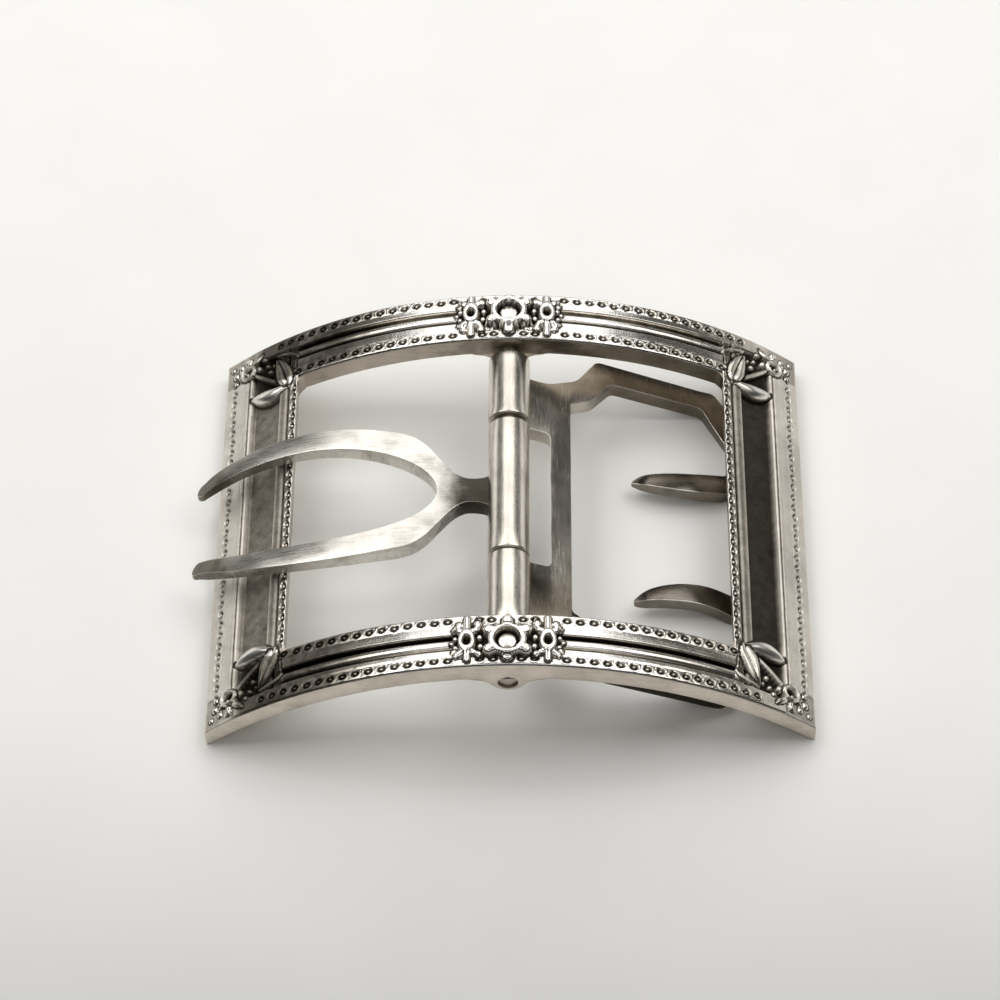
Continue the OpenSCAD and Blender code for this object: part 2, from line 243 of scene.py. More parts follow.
class Relief:
    """One quarter of the frame's top: height above the arch, its darkness (patina in the recesses and painted
    shade) and satin finish.
    """

    def __init__(self, a, b):
        self.a = a
        self.b = b
        long_height, long_dark = long_bar(b)
        short_height, short_dark = short_bar(a)
        corner = smooth(28.9, 29.2, a)
        self.h = long_height * (1 - corner) + short_height * corner
        self.dark = long_dark * (1 - corner) + short_dark * corner
        outer = smooth(26.0, 26.4, b)
        self.satin = smooth(29.9, 30.3, a) * (1 - outer) + smooth(34.5, 39.5, a) * outer
        # The long bar's outer band runs on to the corner, and its inner band ends at the channel
        self.level(smooth(26.1, 26.45, b) * corner, 0, 0.12)
        inner = smooth(20.7, 21.0, b) * (1 - smooth(*CHANNEL_START, b))
        self.level((1 - smooth(29.5, 29.8, a)) * inner * corner, 0, 0)
        self.level(smooth(24.1, 24.5, b) * smooth(36.2, 36.6, a), -0.12, 0.25)
        # The sunk ground under the flowers, with a wavy end
        cluster_end = 6.2 + 0.3 * np.sin(3.1 * b)
        self.level((1 - smooth(0, 0.3, a - cluster_end)) * band(b, (22.9, 23.2), (26.7, 27.0)), -0.65, 0.95)

    def level(self, where, height, shade):
        """Bring part of the surface to one height and darkness."""
        self.h = self.h * (1 - where) + height * where
        self.dark = self.dark * (1 - where) + shade * where

    def beads(self):
        """Round beads, each in a cup with a raised rim, a little unevenly placed."""
        for k, (bead_a, bead_b, along) in enumerate(bead_rows()):
            da = self.a - bead_a - 0.05 * math.sin(7.3 * k)
            db = self.b - bead_b - 0.04 * math.sin(4.1 * k + 1)
            near = np.maximum(np.abs(da), np.abs(db)) < 1.0
            if not near.any():
                continue
            d = np.hypot(da / 1.05, db / 0.78) if along else np.hypot(da / 0.8, db / 1.05)
            rim = self.h + 0.08 * bump(d, CUP_R + 0.08, 0.08)
            cup = np.where(d < CUP_R, 0.42 * (smooth(0.38, CUP_R, d) - 1), rim)
            ball = np.where(d < BEAD_R, np.sqrt(np.maximum(BEAD_R ** 2 - d * d, 0)) - 0.32, NOWHERE)
            self.h = np.where(near, np.maximum(cup, ball), self.h)
            # Painted shade: the cup and the sloping sides of the ball are painted dark, less so in the short
            # bars' outer rows
            shade = 0.88 * smooth(0.12, 0.28, d) * (1 - smooth(0.44, 0.56, d))
            soft_row = (1 - along) * (bead_a > 35)
            inside = near & (d < CUP_R + 0.04)
            self.dark = np.where(inside, shade * (1 - 0.45 * soft_row), self.dark)
            self.satin = np.where(inside & (along < 1), 0.8 * soft_row, self.satin)

    def add(self, nodes, flat=3.0, halo=0.3):
        """A raised stroke, darker at its foot, with a dark halo on the low ground round it."""
        lift, q = stroke(self.a, self.b, nodes, flat)
        inside = lift > self.h
        self.h = np.where(inside, lift, self.h)
        self.dark = np.where(inside, 0.5 * smooth(0.86, 1.0, q), self.dark)
        self.satin = np.where(inside, self.satin * 0.3, self.satin)
        around = ~inside & (q < 1 + halo) & (self.h < LOW_GROUND)
        self.dark = np.where(around, np.maximum(self.dark, 0.8), self.dark)

    def knob(self, ka, kb, r, top, flat=2.2, halo=0.3):
        """A round lump."""
        self.add([(ka - 0.01, kb, r, top), (ka + 0.01, kb, r, top)], flat, halo)

    def ring(self, ka, kb, radii, hole, disc, top, floor, disc_top, flat=5):
        """A pierced flower's raised ring, with a disc inside it. Hole and disc are parts of its radii."""
        d = np.hypot((self.a - ka) / radii[0], (self.b - kb) / radii[1])
        q = np.clip(np.abs(d - (1 + hole) / 2) / ((1 - hole) / 2), 0, 1)
        body = top - 0.55 * (1 - np.sqrt(np.maximum(1 - q ** flat, 0)))
        bowl = np.where(d < disc, disc_top - 0.12 * np.square(d / disc) if disc > 0 else 0, floor)
        around = (d > 1) & (d < 1 + 0.25 / radii[0]) & (self.h < LOW_GROUND)
        solid = (d < 1) & (d > hole) & ((body > self.h) | (d < 1 - (1 - hole) * 0.3))
        self.h = np.where(d < hole, bowl, np.where(solid, body, self.h))
        shade = smooth(disc - 0.08, disc, d) if disc > 0 else 1.0
        self.dark = np.where(d < hole, shade, np.where(solid, 0.3 * smooth(0.9, 1, q), self.dark))
        self.dark = np.where(around, np.maximum(self.dark, 0.7), self.dark)

    def small_flower(self):
        """The flower beside the big one: petals and scrolls up and down, then its ring and lumps."""
        at_a, at_b = SMALL_FLOWER
        for side, end in ((1, 27.75), (-1, 21.9)):
            mid = at_b + side * 1.3
            for wing in (-1, 1):
                self.add(curve([(at_a + wing * 0.3, mid + side * 0.1, 0.4, 0.5),
                                (at_a + wing * 0.95, mid + side * 0.3, 0.46, 0.5),
                                (at_a + wing * 1.35, mid + side * 0.75, 0.34, 0.3)], 3))
            self.add([(at_a, mid, 0.46, 0.7), (at_a, end, 0.44, 0.45)])
        self.ring(at_a, at_b, (1.05, 1.6), 0.42, 0.0, 0.8, -0.35, 0)
        for lump in CLUSTER_LUMPS:
            self.knob(*lump, 3.0)

    def big_flower(self):
        """Half the big flower on the middle line: two petals, a knob at each corner and its ring."""
        mid = 25.25
        self.add([(0, 24.0, 0.76, 1.08), (0, 22.4, 0.74, 0.72)], 5)
        self.add([(0, 26.4, 0.8, 1.0), (0, 27.5, 0.72, 0.62)], 7)
        for kb in (23.85, 26.65):
            self.add([(1.3, mid + (kb - mid) * 0.6, 0.78, 1.12), (2.2, kb, 0.76, 1.08)], 4)
        self.ring(0, mid, (2.3, 2.25), 0.64, 0.5, 1.15, -0.2, 0.35)

    def corner(self):
        """The corner's spray: a lip at the channel's end, a stem, three leaves, lumps and a small flower."""
        self.add(curve([(29.0, 24.6, 0.2, 0.0), (29.5, 25.15, 0.3, 0.06), (30.8, 25.65, 0.32, 0.08),
                        (32.3, 26.0, 0.2, 0.0)], 4))
        self.add([(29.25, 22.8, 0.22, 0.03), (29.2, 24.0, 0.22, 0.03)])
        self.add(curve([(31.8, 21.4, 0.25, 0.0), (34.0, 22.9, 0.34, 0.08), (36.2, 24.6, 0.3, 0.08)], 4), 2.2)
        for leaf in LEAVES:
            self.add(curve(leaf), 2.0)
        for lump in ((33.7, 24.1, 0.42, -0.15), (34.2, 25.3, 0.34, -0.2), (33.2, 25.0, 0.26, -0.3)):
            self.knob(*lump)
        for lump in CORNER_LUMPS:
            self.knob(*lump, 2.4, 0.12)
        for petal in CORNER_PETALS:
            self.add(curve(petal, 4), 2.4, 0.15)
        self.ring(37.2, 25.25, (1.4, 1.15), 0.56, 0.0, 0.42, -0.5, 0, 2)
        self.satin = self.satin * (1 - 0.45 * smooth(22.0, 25.0, self.b))
        for ka in (36.85, 37.6):
            self.knob(ka, 25.4, 0.27, -0.05)

    def round_edges(self):
        """The rounded outer edges and the edges of the opening."""
        a, b = self.a, self.b
        x = ARCH_R * np.sin(a / ARCH_R)
        gap = (x - OPEN_X) / math.cos(OPEN_A / ARCH_R)
        beside = np.where(b < OPEN_Y, gap, np.hypot(np.maximum(gap, 0), b - OPEN_Y))
        to_opening = np.where(gap < 0, b - OPEN_Y, beside)
        d = np.maximum(np.minimum(np.minimum(END_A - a, HALF_W - b), to_opening), 0)
        near_edge = 1 - smooth(0.0, 0.4, d)
        self.h = self.h * (1 - near_edge) + edge_round(d)
        self.dark = self.dark * smooth(0.05, 0.35, d)


def relief(a, b):
    """Height above the arch, darkness (patina in the recesses and painted shade) and satin finish, over one
    quarter of the frame.
    """
    top = Relief(a, b)
    top.beads()
    top.small_flower()
    top.big_flower()
    top.corner()
    top.round_edges()
    return top.h, top.dark, top.satin


def steps(stops):
    """Places from (start, spacing) pairs up to the last stop."""
    out = []
    for (p0, gap), (p1, _) in zip(stops, stops[1:]):
        n = max(1, int(round((p1 - p0) / gap)))
        out += [p0 + (p1 - p0) * i / n for i in range(n)]
    return np.array(out + [stops[-1][0]])


# The grid's spacing: fine over the ornament, finer along steep sides and edges, wide where nothing changes.
# The corner's block starts at SPRAY_B, where its leaves come near
FINE = 0.125
FINER = 0.08
ROUNDED = EDGE + 0.02
SPRAY_B = 18.3
BLOCKS = [
    # The long bar
    (steps([(0, FINE), (OPEN_A, FINE)]),
     steps([(OPEN_Y, FINER), (OPEN_Y + ROUNDED, FINE), (22.8, 0.3), (23.7, FINER), (24.4, 0.12),
            (25.9, FINER), (26.4, 0.3), (26.9, FINE), (HALF_W - ROUNDED, FINER), (HALF_W, 1)])),
    # The corner
    (steps([(OPEN_A, FINER), (OPEN_A + ROUNDED, FINE), (END_A - ROUNDED, FINER), (END_A, 1)]),
     steps([(SPRAY_B, FINE), (HALF_W - ROUNDED, FINER), (HALF_W, 1)])),
    # The short bar
    (steps([(OPEN_A, FINER), (OPEN_A + ROUNDED, FINE), (32.2, 0.6), (36.2, 0.09), (37.8, 0.35),
            (38.8, FINE), (END_A - ROUNDED, FINER), (END_A, 1)]),
     steps([(0, FINE), (SPRAY_B, 1)])),
]


def bent(s, y, a, b, h):
    """Points of the relief bent over the arch. Near its ends the relief is pulled upright over the walls."""
    wave = 0.012 * np.sin(0.9 * s + 0.7 * y) * np.sin(0.6 * y - 0.4 * s)
    inside = smooth(0.2, 0.6, np.minimum(END_A - a, HALF_W - b))
    h = h + wave * inside * smooth(0.2, 0.6, np.maximum(b - OPEN_Y, a - OPEN_A))
    turn = s / ARCH_R
    beside_opening = np.maximum(1 - np.abs(a - OPEN_A), 0) * (b < OPEN_Y + 0.9)
    pull = np.clip(np.maximum(1 - (END_A - a), 0) + beside_opening, 0, 1)
    x = (ARCH_R + h) * np.sin(turn) - h * np.sin(turn) * pull
    z = ARCH_Z + (ARCH_R + h) * np.cos(turn)
    return np.stack([x, y, z], -1).reshape(-1, 3)


def painted_side_shade(a, b, dark, satin, left):
    """Painted shade on one side: the right panel is painted darker and the left one lighter, and the ends of
    the long bars are painted darker, far more on the left.
    """
    panel = satin * band(a, (31.8, 32.2), (36.4, 36.6))
    ends = smooth(13, 24, a) * (1 - smooth(34, 38, a)) * smooth(OPEN_Y, OPEN_Y + 0.4, b)
    return dark * (1 + panel * (-0.22 if left else 0.42)) + ends * (0.55 if left else 0.14)


def relief_mesh(name, front, material):
    """Half the frame's top, front or back, as a grid bent over the arch, with its darkness (patina and
    painted shade) and satin.
    """
    verts, faces, darks, satins = [], [], [], []
    count = 0
    for places_a, places_b in BLOCKS:
        for left in (False, True):
            a, b = np.meshgrid(places_a, places_b, indexing="ij")
            h, dark, satin = relief(a, b)
            verts.append(bent(-a if left else a, -b if front else b, a, b, h))
            # Painted shade that differs between the two sides of the buckle
            darks.append(painted_side_shade(a, b, dark, satin, left).reshape(-1))
            satins.append(satin.reshape(-1))
            idx = count + np.arange(a.size).reshape(a.shape)
            quad = np.stack([idx[:-1, :-1], idx[1:, :-1], idx[1:, 1:], idx[:-1, 1:]], -1).reshape(-1, 4)
            faces.append(quad[:, ::-1] if left != front else quad)
            count += a.size
    verts = np.concatenate(verts)
    faces = np.concatenate(faces)
    # The darkness is patina in the recesses together with painted shade
    shades = {"patina_and_shade": np.concatenate(darks), "satin": np.concatenate(satins)}
    # Points that two blocks share become one
    key = np.round(verts / SAME_POINT).astype(np.int64)
    _, first, back = np.unique(key, axis=0, return_index=True, return_inverse=True)
    mesh = bpy.data.meshes.new(name)
    mesh.from_pydata((verts[first] * MM).tolist(), [], back.reshape(-1)[faces].tolist())
    for label, values in shades.items():
        layer = mesh.attributes.new(label, "FLOAT", "POINT")
        layer.data.foreach_set("value", values[first].astype(np.float32))
    mesh.update()
    return add_mesh(name, mesh, material, "frame")


def outline_rounded(hx, hy, r, step=0.3, corner=8):
    """A rounded rectangle round the middle, as points in order, counter-clockwise."""
    pts = []
    for cx, cy, start in ((1, 1, 0), (-1, 1, 90), (-1, -1, 180), (1, -1, 270)):
        ox, oy = cx * (hx - r), cy * (hy - r)
        for i in range(corner + 1):
            t = math.radians(start + 90 * i / corner)
            pts.append((ox + r * math.cos(t), oy + r * math.sin(t)))
    out = []
    for (x0, y0), (x1, y1) in zip(pts, pts[1:] + pts[:1]):
        n = max(1, int(math.hypot(x1 - x0, y1 - y0) / step))
        out += [(x0 + (x1 - x0) * i / n, y0 + (y1 - y0) * i / n) for i in range(n)]
    return np.array(out)


def wall(bm, path, inward, soft=0.22):
    """The frame's side wall along a path: down from the relief's rounded edge to a softened lower edge."""
    ahead = np.roll(path, -1, 0) - np.roll(path, 1, 0)
    ahead /= np.linalg.norm(ahead, axis=1)[:, None]
    normal = np.stack([-ahead[:, 1], ahead[:, 0]], -1) * (1 if inward else -1)
    lean = np.sqrt(1 - np.square(path[:, 0] / ARCH_R))
    top = ARCH_Z + (ARCH_R - EDGE) * lean
    under = np.maximum(arch_z(path[:, 0]) - THICK, BASE_Z)
    # The lower edge stays sharp where it runs over a boss
    soft = soft * smooth(BOSS_X - 0.4, BOSS_X + 0.3, np.abs(path[:, 0]))
    rings = []
    for k in range(4):
        rings.append((path, top + (under + soft - top) * k / 3))
    for k in range(1, 4):
        t = math.radians(30 * k)
        rings.append((path + normal * soft[:, None] * (1 - math.cos(t)), under + soft * (1 - math.sin(t))))
    made = [[bm.verts.new((p[0], p[1], z)) for p, z in zip(ring, zs)] for ring, zs in rings]
    n = len(path)
    for r0, r1 in zip(made, made[1:]):
        for i in range(n):
            j = (i + 1) % n
            bm.faces.new((r0[i], r1[i], r1[j], r0[j]) if inward else (r0[i], r0[j], r1[j], r1[i]))


def opening_wall(material):
    """The walls of the strap opening."""
    bm = bmesh.new()
    wall(bm, outline_rounded(OPEN_X, OPEN_Y, OPEN_CORNER_R), False)
    bmesh.ops.scale(bm, vec=(MM, MM, MM), verts=bm.verts)
    return new_object("frame_opening_wall", bm, material, "frame", 35)


def underside(bm):
    """The frame's underside, as a grid bent over the arch with the opening left out."""
    far_x, far_y = HALF_L - 0.2, HALF_W - 0.2
    near_x, near_y = OPEN_X + 0.2, OPEN_Y + 0.2
    xs = np.concatenate([np.linspace(-far_x, -near_x, 9), np.linspace(-near_x, near_x, 41)[1:-1],
                         np.linspace(near_x, far_x, 9)])
    ys = (-far_y, -near_y, -7, 7, near_y, far_y)
    grid = [[bm.verts.new((x, y, max(arch_z(x) - THICK, BASE_Z))) for y in ys] for x in xs]
    for i in range(len(xs) - 1):
        over_opening = abs(xs[i] + xs[i + 1]) / 2 < OPEN_X
        for j in range(len(ys) - 1):
            if over_opening and 1 <= j <= 3:
                continue
            bm.faces.new((grid[i][j], grid[i][j + 1], grid[i + 1][j + 1], grid[i + 1][j]))


def opening_fillet(bm, cx, cy, drop, grow):
    """The small fillet in one corner of the opening, at a drop below the arch."""
    hub = bm.verts.new((cx * (OPEN_X + grow), cy * (OPEN_Y + grow), arch_z(OPEN_X) - drop))
    arc = []
    for i in range(9):
        t = math.radians(90 * i / 8)
        x = OPEN_X - OPEN_CORNER_R * (1 - math.cos(t))
        y = OPEN_Y - OPEN_CORNER_R * (1 - math.sin(t))
        lean = math.sqrt(1 - (x / ARCH_R) ** 2)
        z = ARCH_Z + (ARCH_R - EDGE) * lean if drop == EDGE else arch_z(x) - THICK
        arc.append(bm.verts.new((cx * x, cy * y, z)))
    up = (cx * cy > 0) != (drop == THICK)
    for v0, v1 in zip(arc, arc[1:]):
        bm.faces.new((hub, v0, v1) if up else (hub, v1, v0))


def boss(bm, side):
    """A rounded lug under a long bar, bored for the spindle."""
    right = curve([(BOSS_X, 0.74), (3.9, 0.62), (3.2, 0.36), (2.6, -0.05), (2.15, -0.52), (1.7, -1.02),
                   (1.2, -1.42), (0.6, -1.68), (0.0, -1.76)], 3)
    shape = right + [(-x, z) for x, z in right[-2::-1]]
    shape += [(x, float(arch_z(x)) - THICK) for x in np.linspace(-BOSS_X, BOSS_X, 11)]
    outer_y = side * HALF_W
    inner_y = side * OPEN_Y
    soft = 0.25
    hole_depth = 1.2

    def ring(y, shrink):
        """The lug's outline, drawn in by an amount except where it joins the bar."""
        made = []
        for x, z in shape:
            r = math.hypot(x, z)
            k = 1 if z > 0.8 else (r - shrink) / r
            made.append(bm.verts.new((x * k, y, z * k)))
        return made

    def bore(y):
        """The hole's edge, with a point for each point of the outline."""
        made = []
        for x, z in shape:
            r = math.hypot(x, z)
            made.append(bm.verts.new((x / r * SPINDLE_R, y, z / r * SPINDLE_R)))
        return made

    rings = [bore(outer_y - side * hole_depth), bore(outer_y), ring(outer_y, soft),
             ring(outer_y - side * 0.07, 0.12), ring(outer_y - side * soft, 0),
             ring(inner_y + side * soft, 0), ring(inner_y, soft), bore(inner_y)]
    n = len(shape)
    for r0, r1 in zip(rings, rings[1:]):
        for i in range(n):
            j = (i + 1) % n
            face = (r0[i], r0[j], r1[j], r1[i])
            bm.faces.new(face if side > 0 else face[::-1])


def frame_body(material):
    """The frame's outer walls, its underside and the two bosses."""
    bm = bmesh.new()
    wall(bm, outline_rounded(HALF_L, HALF_W, 0.05, corner=1), True)
    underside(bm)
    for cx in (-1, 1):
        for cy in (-1, 1):
            opening_fillet(bm, cx, cy, EDGE, 0.0)
            opening_fillet(bm, cx, cy, THICK, 0.25)
    for side in (-1, 1):
        boss(bm, side)
    bmesh.ops.scale(bm, vec=(MM, MM, MM), verts=bm.verts)
    return new_object("frame_body", bm, material, "frame", 35)


# ---------------------------------------------------------------- slabs, barrels and pins

def round_corners(path, count=7):
    """A closed outline whose (x, y, radius) corners are rounded."""
    out = []
    n = len(path)
    for i, (x, y, r) in enumerate(path):
        if r <= 0:
            out.append((x, y))
            continue
        q = Vector((x, y))
        a = (Vector(path[i - 1][:2]) - q).normalized()
        b = (Vector(path[(i + 1) % n][:2]) - q).normalized()
        half = a.angle(b) / 2
        centre = q + (a + b).normalized() * r / math.sin(half)
        first = q + a * r / math.tan(half) - centre
        last = q + b * r / math.tan(half) - centre
        start = math.atan2(first.y, first.x)
        sweep = first.angle_signed(last) * -1
        for k in range(count + 1):
            t = start + sweep * k / count
            out.append((centre.x + r * math.cos(t), centre.y + r * math.sin(t)))
    return out


LEAN_THICK = 0.6


def cut_across(bm, start, end, gap):
    """Cuts across X, so that a flat plate can be bent."""
    x = start + gap
    while x < end - gap / 3:
        geom = bm.verts[:] + bm.edges[:] + bm.faces[:]
        bmesh.ops.bisect_plane(bm, geom=geom, plane_co=(x, 0, 0), plane_no=(1, 0, 0), dist=1e-5)
        x += gap


def add_mirrored(bm):
    """The other half of a plate, mirrored in Y and joined on."""
    geom = bm.verts[:] + bm.edges[:] + bm.faces[:]
    for v in bmesh.ops.duplicate(bm, geom=geom)["geom"]:
        if isinstance(v, bmesh.types.BMVert):
            v.co.y = -v.co.y
    bmesh.ops.remove_doubles(bm, verts=bm.verts, dist=1e-4)


def slab(name, outline, gap, top, under, soft, metals, body, mirrored=True, lean=None):
    """A plate drawn from above, its top and underside shaped by functions of X and its edges rounded.

    The two metals are for its faces and for its rounded edges. Lean drops the top behind a line, as
    (y, slope), but keeps at least LEAN_THICK of the plate."""
    bm = bmesh.new()
    bm.faces.new([bm.verts.new((x, y, 0)) for x, y in outline])
    xs = [x for x, y in outline]
    cut_across(bm, min(xs), max(xs), gap)
    if mirrored:
        add_mirrored(bm)
    bmesh.ops.dissolve_degenerate(bm, edges=bm.edges, dist=0.02)
    high = bm.verts[:]
    rim = [e for e in bm.edges if e.is_boundary]
    low = bmesh.ops.duplicate(bm, geom=high + bm.edges[:] + bm.faces[:])
    twin = low["vert_map"]
    for v in high:
        twin[v].co.z = under(v.co.x)
        v.co.z = top(v.co.x)
        if lean:
            dropped = v.co.z - lean[1] * max(0.0, v.co.y - lean[0])
            v.co.z = max(dropped, twin[v].co.z + LEAN_THICK)
    for e in rim:
        v0, v1 = e.verts
        bm.faces.new((v0, v1, twin[v1], twin[v0]))
    bmesh.ops.recalc_face_normals(bm, faces=bm.faces)
    both = set(rim)
    for e in rim:
        both.add(bm.edges.get((twin[e.verts[0]], twin[e.verts[1]])))
    rounded = bmesh.ops.bevel(bm, geom=list(both), offset=soft, segments=4, profile=0.5, affect="EDGES",
                              clamp_overlap=True)
    for face in rounded["faces"]:
        face.material_index = 1
    bmesh.ops.scale(bm, vec=(MM, MM, MM), verts=bm.verts)
    obj = new_object(name, bm, metals[0], body, 45)
    obj.data.materials.append(metals[1])
    return obj


def lathe(name, profile, material, body, around=72):
    """A turned piece about the spindle's axis, from (distance along Y, radius) pairs in a closed loop."""
    bm = bmesh.new()
    rings = []
    for y, r in profile:
        if r < 1e-6:
            rings.append([bm.verts.new((0, y, 0))])
        else:
            rings.append([bm.verts.new((r * math.cos(t), y, r * math.sin(t)))
                          for t in (2 * math.pi * i / around for i in range(around))])
    for r0, r1 in zip(rings, rings[1:]):
        for i in range(around):
            j = (i + 1) % around
            if len(r0) == 1:
                bm.faces.new((r0[0], r1[j], r1[i]))
            elif len(r1) == 1:
                bm.faces.new((r0[i], r0[j], r1[0]))
            else:
                bm.faces.new((r0[i], r0[j], r1[j], r1[i]))
    bmesh.ops.recalc_face_normals(bm, faces=bm.faces)
    bmesh.ops.scale(bm, vec=(MM, MM, MM), verts=bm.verts)
    return new_object(name, bm, material, body, 35)


# A barrel's rounded end, as (distance along, distance inward) in parts of BARREL_ROUND
BARREL_ROUND = 0.3
ROUND_STEPS = [(0, 1), (0.081, 0.62), (0.3, 0.3), (0.62, 0.08), (1, 0)]


def barrel(name, y0, y1, radius, material, body):
    """A tube with rounded ends that turns on the spindle."""
    c = BARREL_ROUND
    first = [(y0 + c * along, radius - c * inward) for along, inward in ROUND_STEPS]
    last = [(y1 - c * along, radius - c * inward) for along, inward in ROUND_STEPS[::-1]]
    straight = [(y, radius) for y in np.linspace(y0 + c, y1 - c, 9)[1:-1]]
    profile = [(y0, BORE_R)] + first + straight + last + [(y1, BORE_R), (y0, BORE_R)]
    return lathe(name, profile, material, body)


# ---------------------------------------------------------------- tongue

# The arms lie between two ellipses, as (centre, reach, breadth), and end in round points
ARM_OUTER = (-24, 21.3, 10.0)
ARM_INNER = (-26, 19.5, 7.15)
ARM_INNER_NEAR_REACH = 17
SHOULDER_X = -16
TIP_X = -39.2
TIP_LENGTH = 0.95
DIP_X = -37.0
# Arcs in the XZ plane, as (centre x, centre z, radius)
TONGUE_TOP_ARC = (-14, -44.5, 45)
TONGUE_UNDER_ARC = (-17, -39.83, 38)


def ellipse_y(x, centre, reach, breadth):
    """Distance of an ellipse from the middle line."""
    return breadth * math.sqrt(max(0.0, 1 - ((x - centre) / reach) ** 2))


def tongue_outline():
    """Half the tongue from above: neck, outer side of the arm, point and inner side."""
    outer = [(x, ellipse_y(x, *ARM_OUTER)) for x in np.linspace(SHOULDER_X, TIP_X, 36)]
    inner_far = ellipse_y(TIP_X, *ARM_INNER)
    r = (ellipse_y(TIP_X, *ARM_OUTER) - inner_far) / 2
    point = [(TIP_X - TIP_LENGTH * math.sin(t), inner_far + r + r * math.cos(t))
             for t in map(math.radians, range(15, 180, 15))]
    centre, _, breadth = ARM_INNER
    far = [(x, ellipse_y(x, *ARM_INNER)) for x in np.linspace(TIP_X, centre, 21)]
    near = [(centre + ARM_INNER_NEAR_REACH * math.sin(t), breadth * math.cos(t))
            for t in map(math.radians, range(4, 90, 4))]
    neck = curve([(-1.2, 3.6), (-1.9, 2.75), (-2.9, 2.05), (-4.2, 1.8), (-5.6, 1.95), (-7.0, 2.9),
                  (-8.6, 4.75), (-10.2, 6.75), (-11.9, 8.15), (-13.8, 8.85), outer[0]], 4)
    return [(0.4, 0.0), (0.4, 3.6)] + neck[:-1] + outer + point + far + near + [(-9.0, 0.0)]


def tip_dip(x):
    """How far a place lies along the dipping tips: nothing before them."""
    return max(0.0, (DIP_X - x) / 3.2)


def tongue_top(x):
    """The tongue's top: an arc over the arms, easing down towards the barrel and at the tips."""
    start = TONGUE_TOP_ARC[0]
    arch = arc_z(x, *TONGUE_TOP_ARC) if x < start else 0.5 - 0.45 * ((x - start) / start) ** 2
    return arch - 0.75 * tip_dip(x) ** 2.2


def tongue_under(x):
    """The tongue's underside: an arc under the arms and a slope down towards the barrel."""
    start = TONGUE_UNDER_ARC[0]
    arch = arc_z(x, *TONGUE_UNDER_ARC) if x < start else -1.83 + 0.67 * (x - start) / start
    return arch + 0.35 * tip_dip(x) ** 2


def tongue(material, edge_material, barrel_material):
    """The forked tongue and its barrel."""
    objs = [slab("tongue_fork", tongue_outline(), 0.5, tongue_top, tongue_under, 0.3,
                 (material, edge_material), "tongue"),
            barrel("tongue_barrel", -10.15, 9.9, 2.6, barrel_material, "tongue")]
    for o in objs:
        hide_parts("tongue")
    return objs


# ---------------------------------------------------------------- chape

# The plate slopes down from the knuckles, bends over BEND_R and ends level. At SLOPE_X its top is at SLOPE_Z
SLOPE = math.radians(24.5)
FALL = math.tan(SLOPE)
SLOPE_X = 5.2
SLOPE_Z = -1.94
PLATE_DEPTH = 2.3
CHAPE_BASE = BASE_Z + 0.05
END_TOP = CHAPE_BASE + 1.6
BEND_R = 12.0
BEND_Z = END_TOP + BEND_R * (1 - math.cos(SLOPE))
BEND_X = SLOPE_X + (SLOPE_Z - BEND_Z) / FALL
FLAT_X = BEND_X + BEND_R * math.sin(SLOPE)
# The teeth lie between two arcs in the XZ plane, as (centre x, centre z, radius)
TOOTH_TOP_ARC = (19.5, -27.45, 18)
TOOTH_UNDER_ARC = (19.5, -27.45, 16)
TOOTH_TIP_X = 18.0
TOOTH_LEAN = 0.33


def chape_top(x):
    """The plate's top."""
    if x < BEND_X:
        return SLOPE_Z - (x - SLOPE_X) * FALL
    if x < FLAT_X:
        return END_TOP + BEND_R - math.sqrt(BEND_R ** 2 - (FLAT_X - x) ** 2)
    return END_TOP


def chape_under(x):
    """The plate's underside."""
    return max(CHAPE_BASE, SLOPE_Z - PLATE_DEPTH - (x - SLOPE_X) * FALL)


def chape_outline():
    """Half the plate from above, as (x, y, corner radius): root, loop, the opening inside it and spine."""
    return round_corners([
        (0.5, 10.3, 0), (0.5, 18.3, 0), (5, 18.3, 4), (8.6, 20, 3), (11.2, 24.1, 1.2), (26.6, 23.9, 1.2),
        (31.8, 16.2, 1.5), (31.8, 0, 0), (29, 0, 0), (29, 13.6, 1), (24.9, 21.1, 1.2), (13, 21, 1.2),
        (10.3, 17.4, 3), (7.8, 16.1, 0.6), (7.8, 0, 0), (5.2, 0, 0), (5.2, 10.3, 0.8)])


def tooth_outline():
    """The back tooth from above."""
    return curve([(30.4, 12.4), (27.0, 11.2), (23.5, 10.45), (20.0, 10.25), (17.5, 10.1), (16.1, 9.8),
                  (15.55, 9.35), (16.0, 8.85), (17.3, 8.05), (19.5, 7.3), (22.3, 6.9), (25.0, 7.0),
                  (28.0, 7.8), (30.4, 8.8)], 5)


def tooth_top(x):
    """A tooth's top, which dips at its tip."""
    dip = 0.75 * max(0.0, (TOOTH_TIP_X - x) / 2.5) ** 2
    return max(CHAPE_BASE + 1, arc_z(x, *TOOTH_TOP_ARC) - dip)


def tooth_under(x):
    """A tooth's underside."""
    return max(CHAPE_BASE + 0.02, arc_z(x, *TOOTH_UNDER_ARC))


def chape(material, tooth_material, edge_material, barrel_material):
    """The plate, its two knuckles and its two teeth."""
    objs = [slab("chape_plate", chape_outline(), 0.9, chape_top, chape_under, 0.22,
                 (material, edge_material), "chape")]
    for side, y0, y1 in (("front", -20.6, -10.4), ("back", 10.5, 20.6)):
        objs.append(barrel("chape_knuckle_" + side, y0, y1, 2.65, barrel_material, "chape"))
    for side, sign, lean_y in (("front", -1, -10.2), ("back", 1, 7.2)):
        outline = [(x, y * sign) for x, y in tooth_outline()][::sign]
        objs.append(slab("chape_tooth_" + side, outline, 0.5, tooth_top, tooth_under, 0.3,
                         (tooth_material, edge_material), "chape", False, (lean_y, TOOTH_LEAN)))
    for o in objs:
        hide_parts("chape")
    return objs


# ---------------------------------------------------------------- spindle

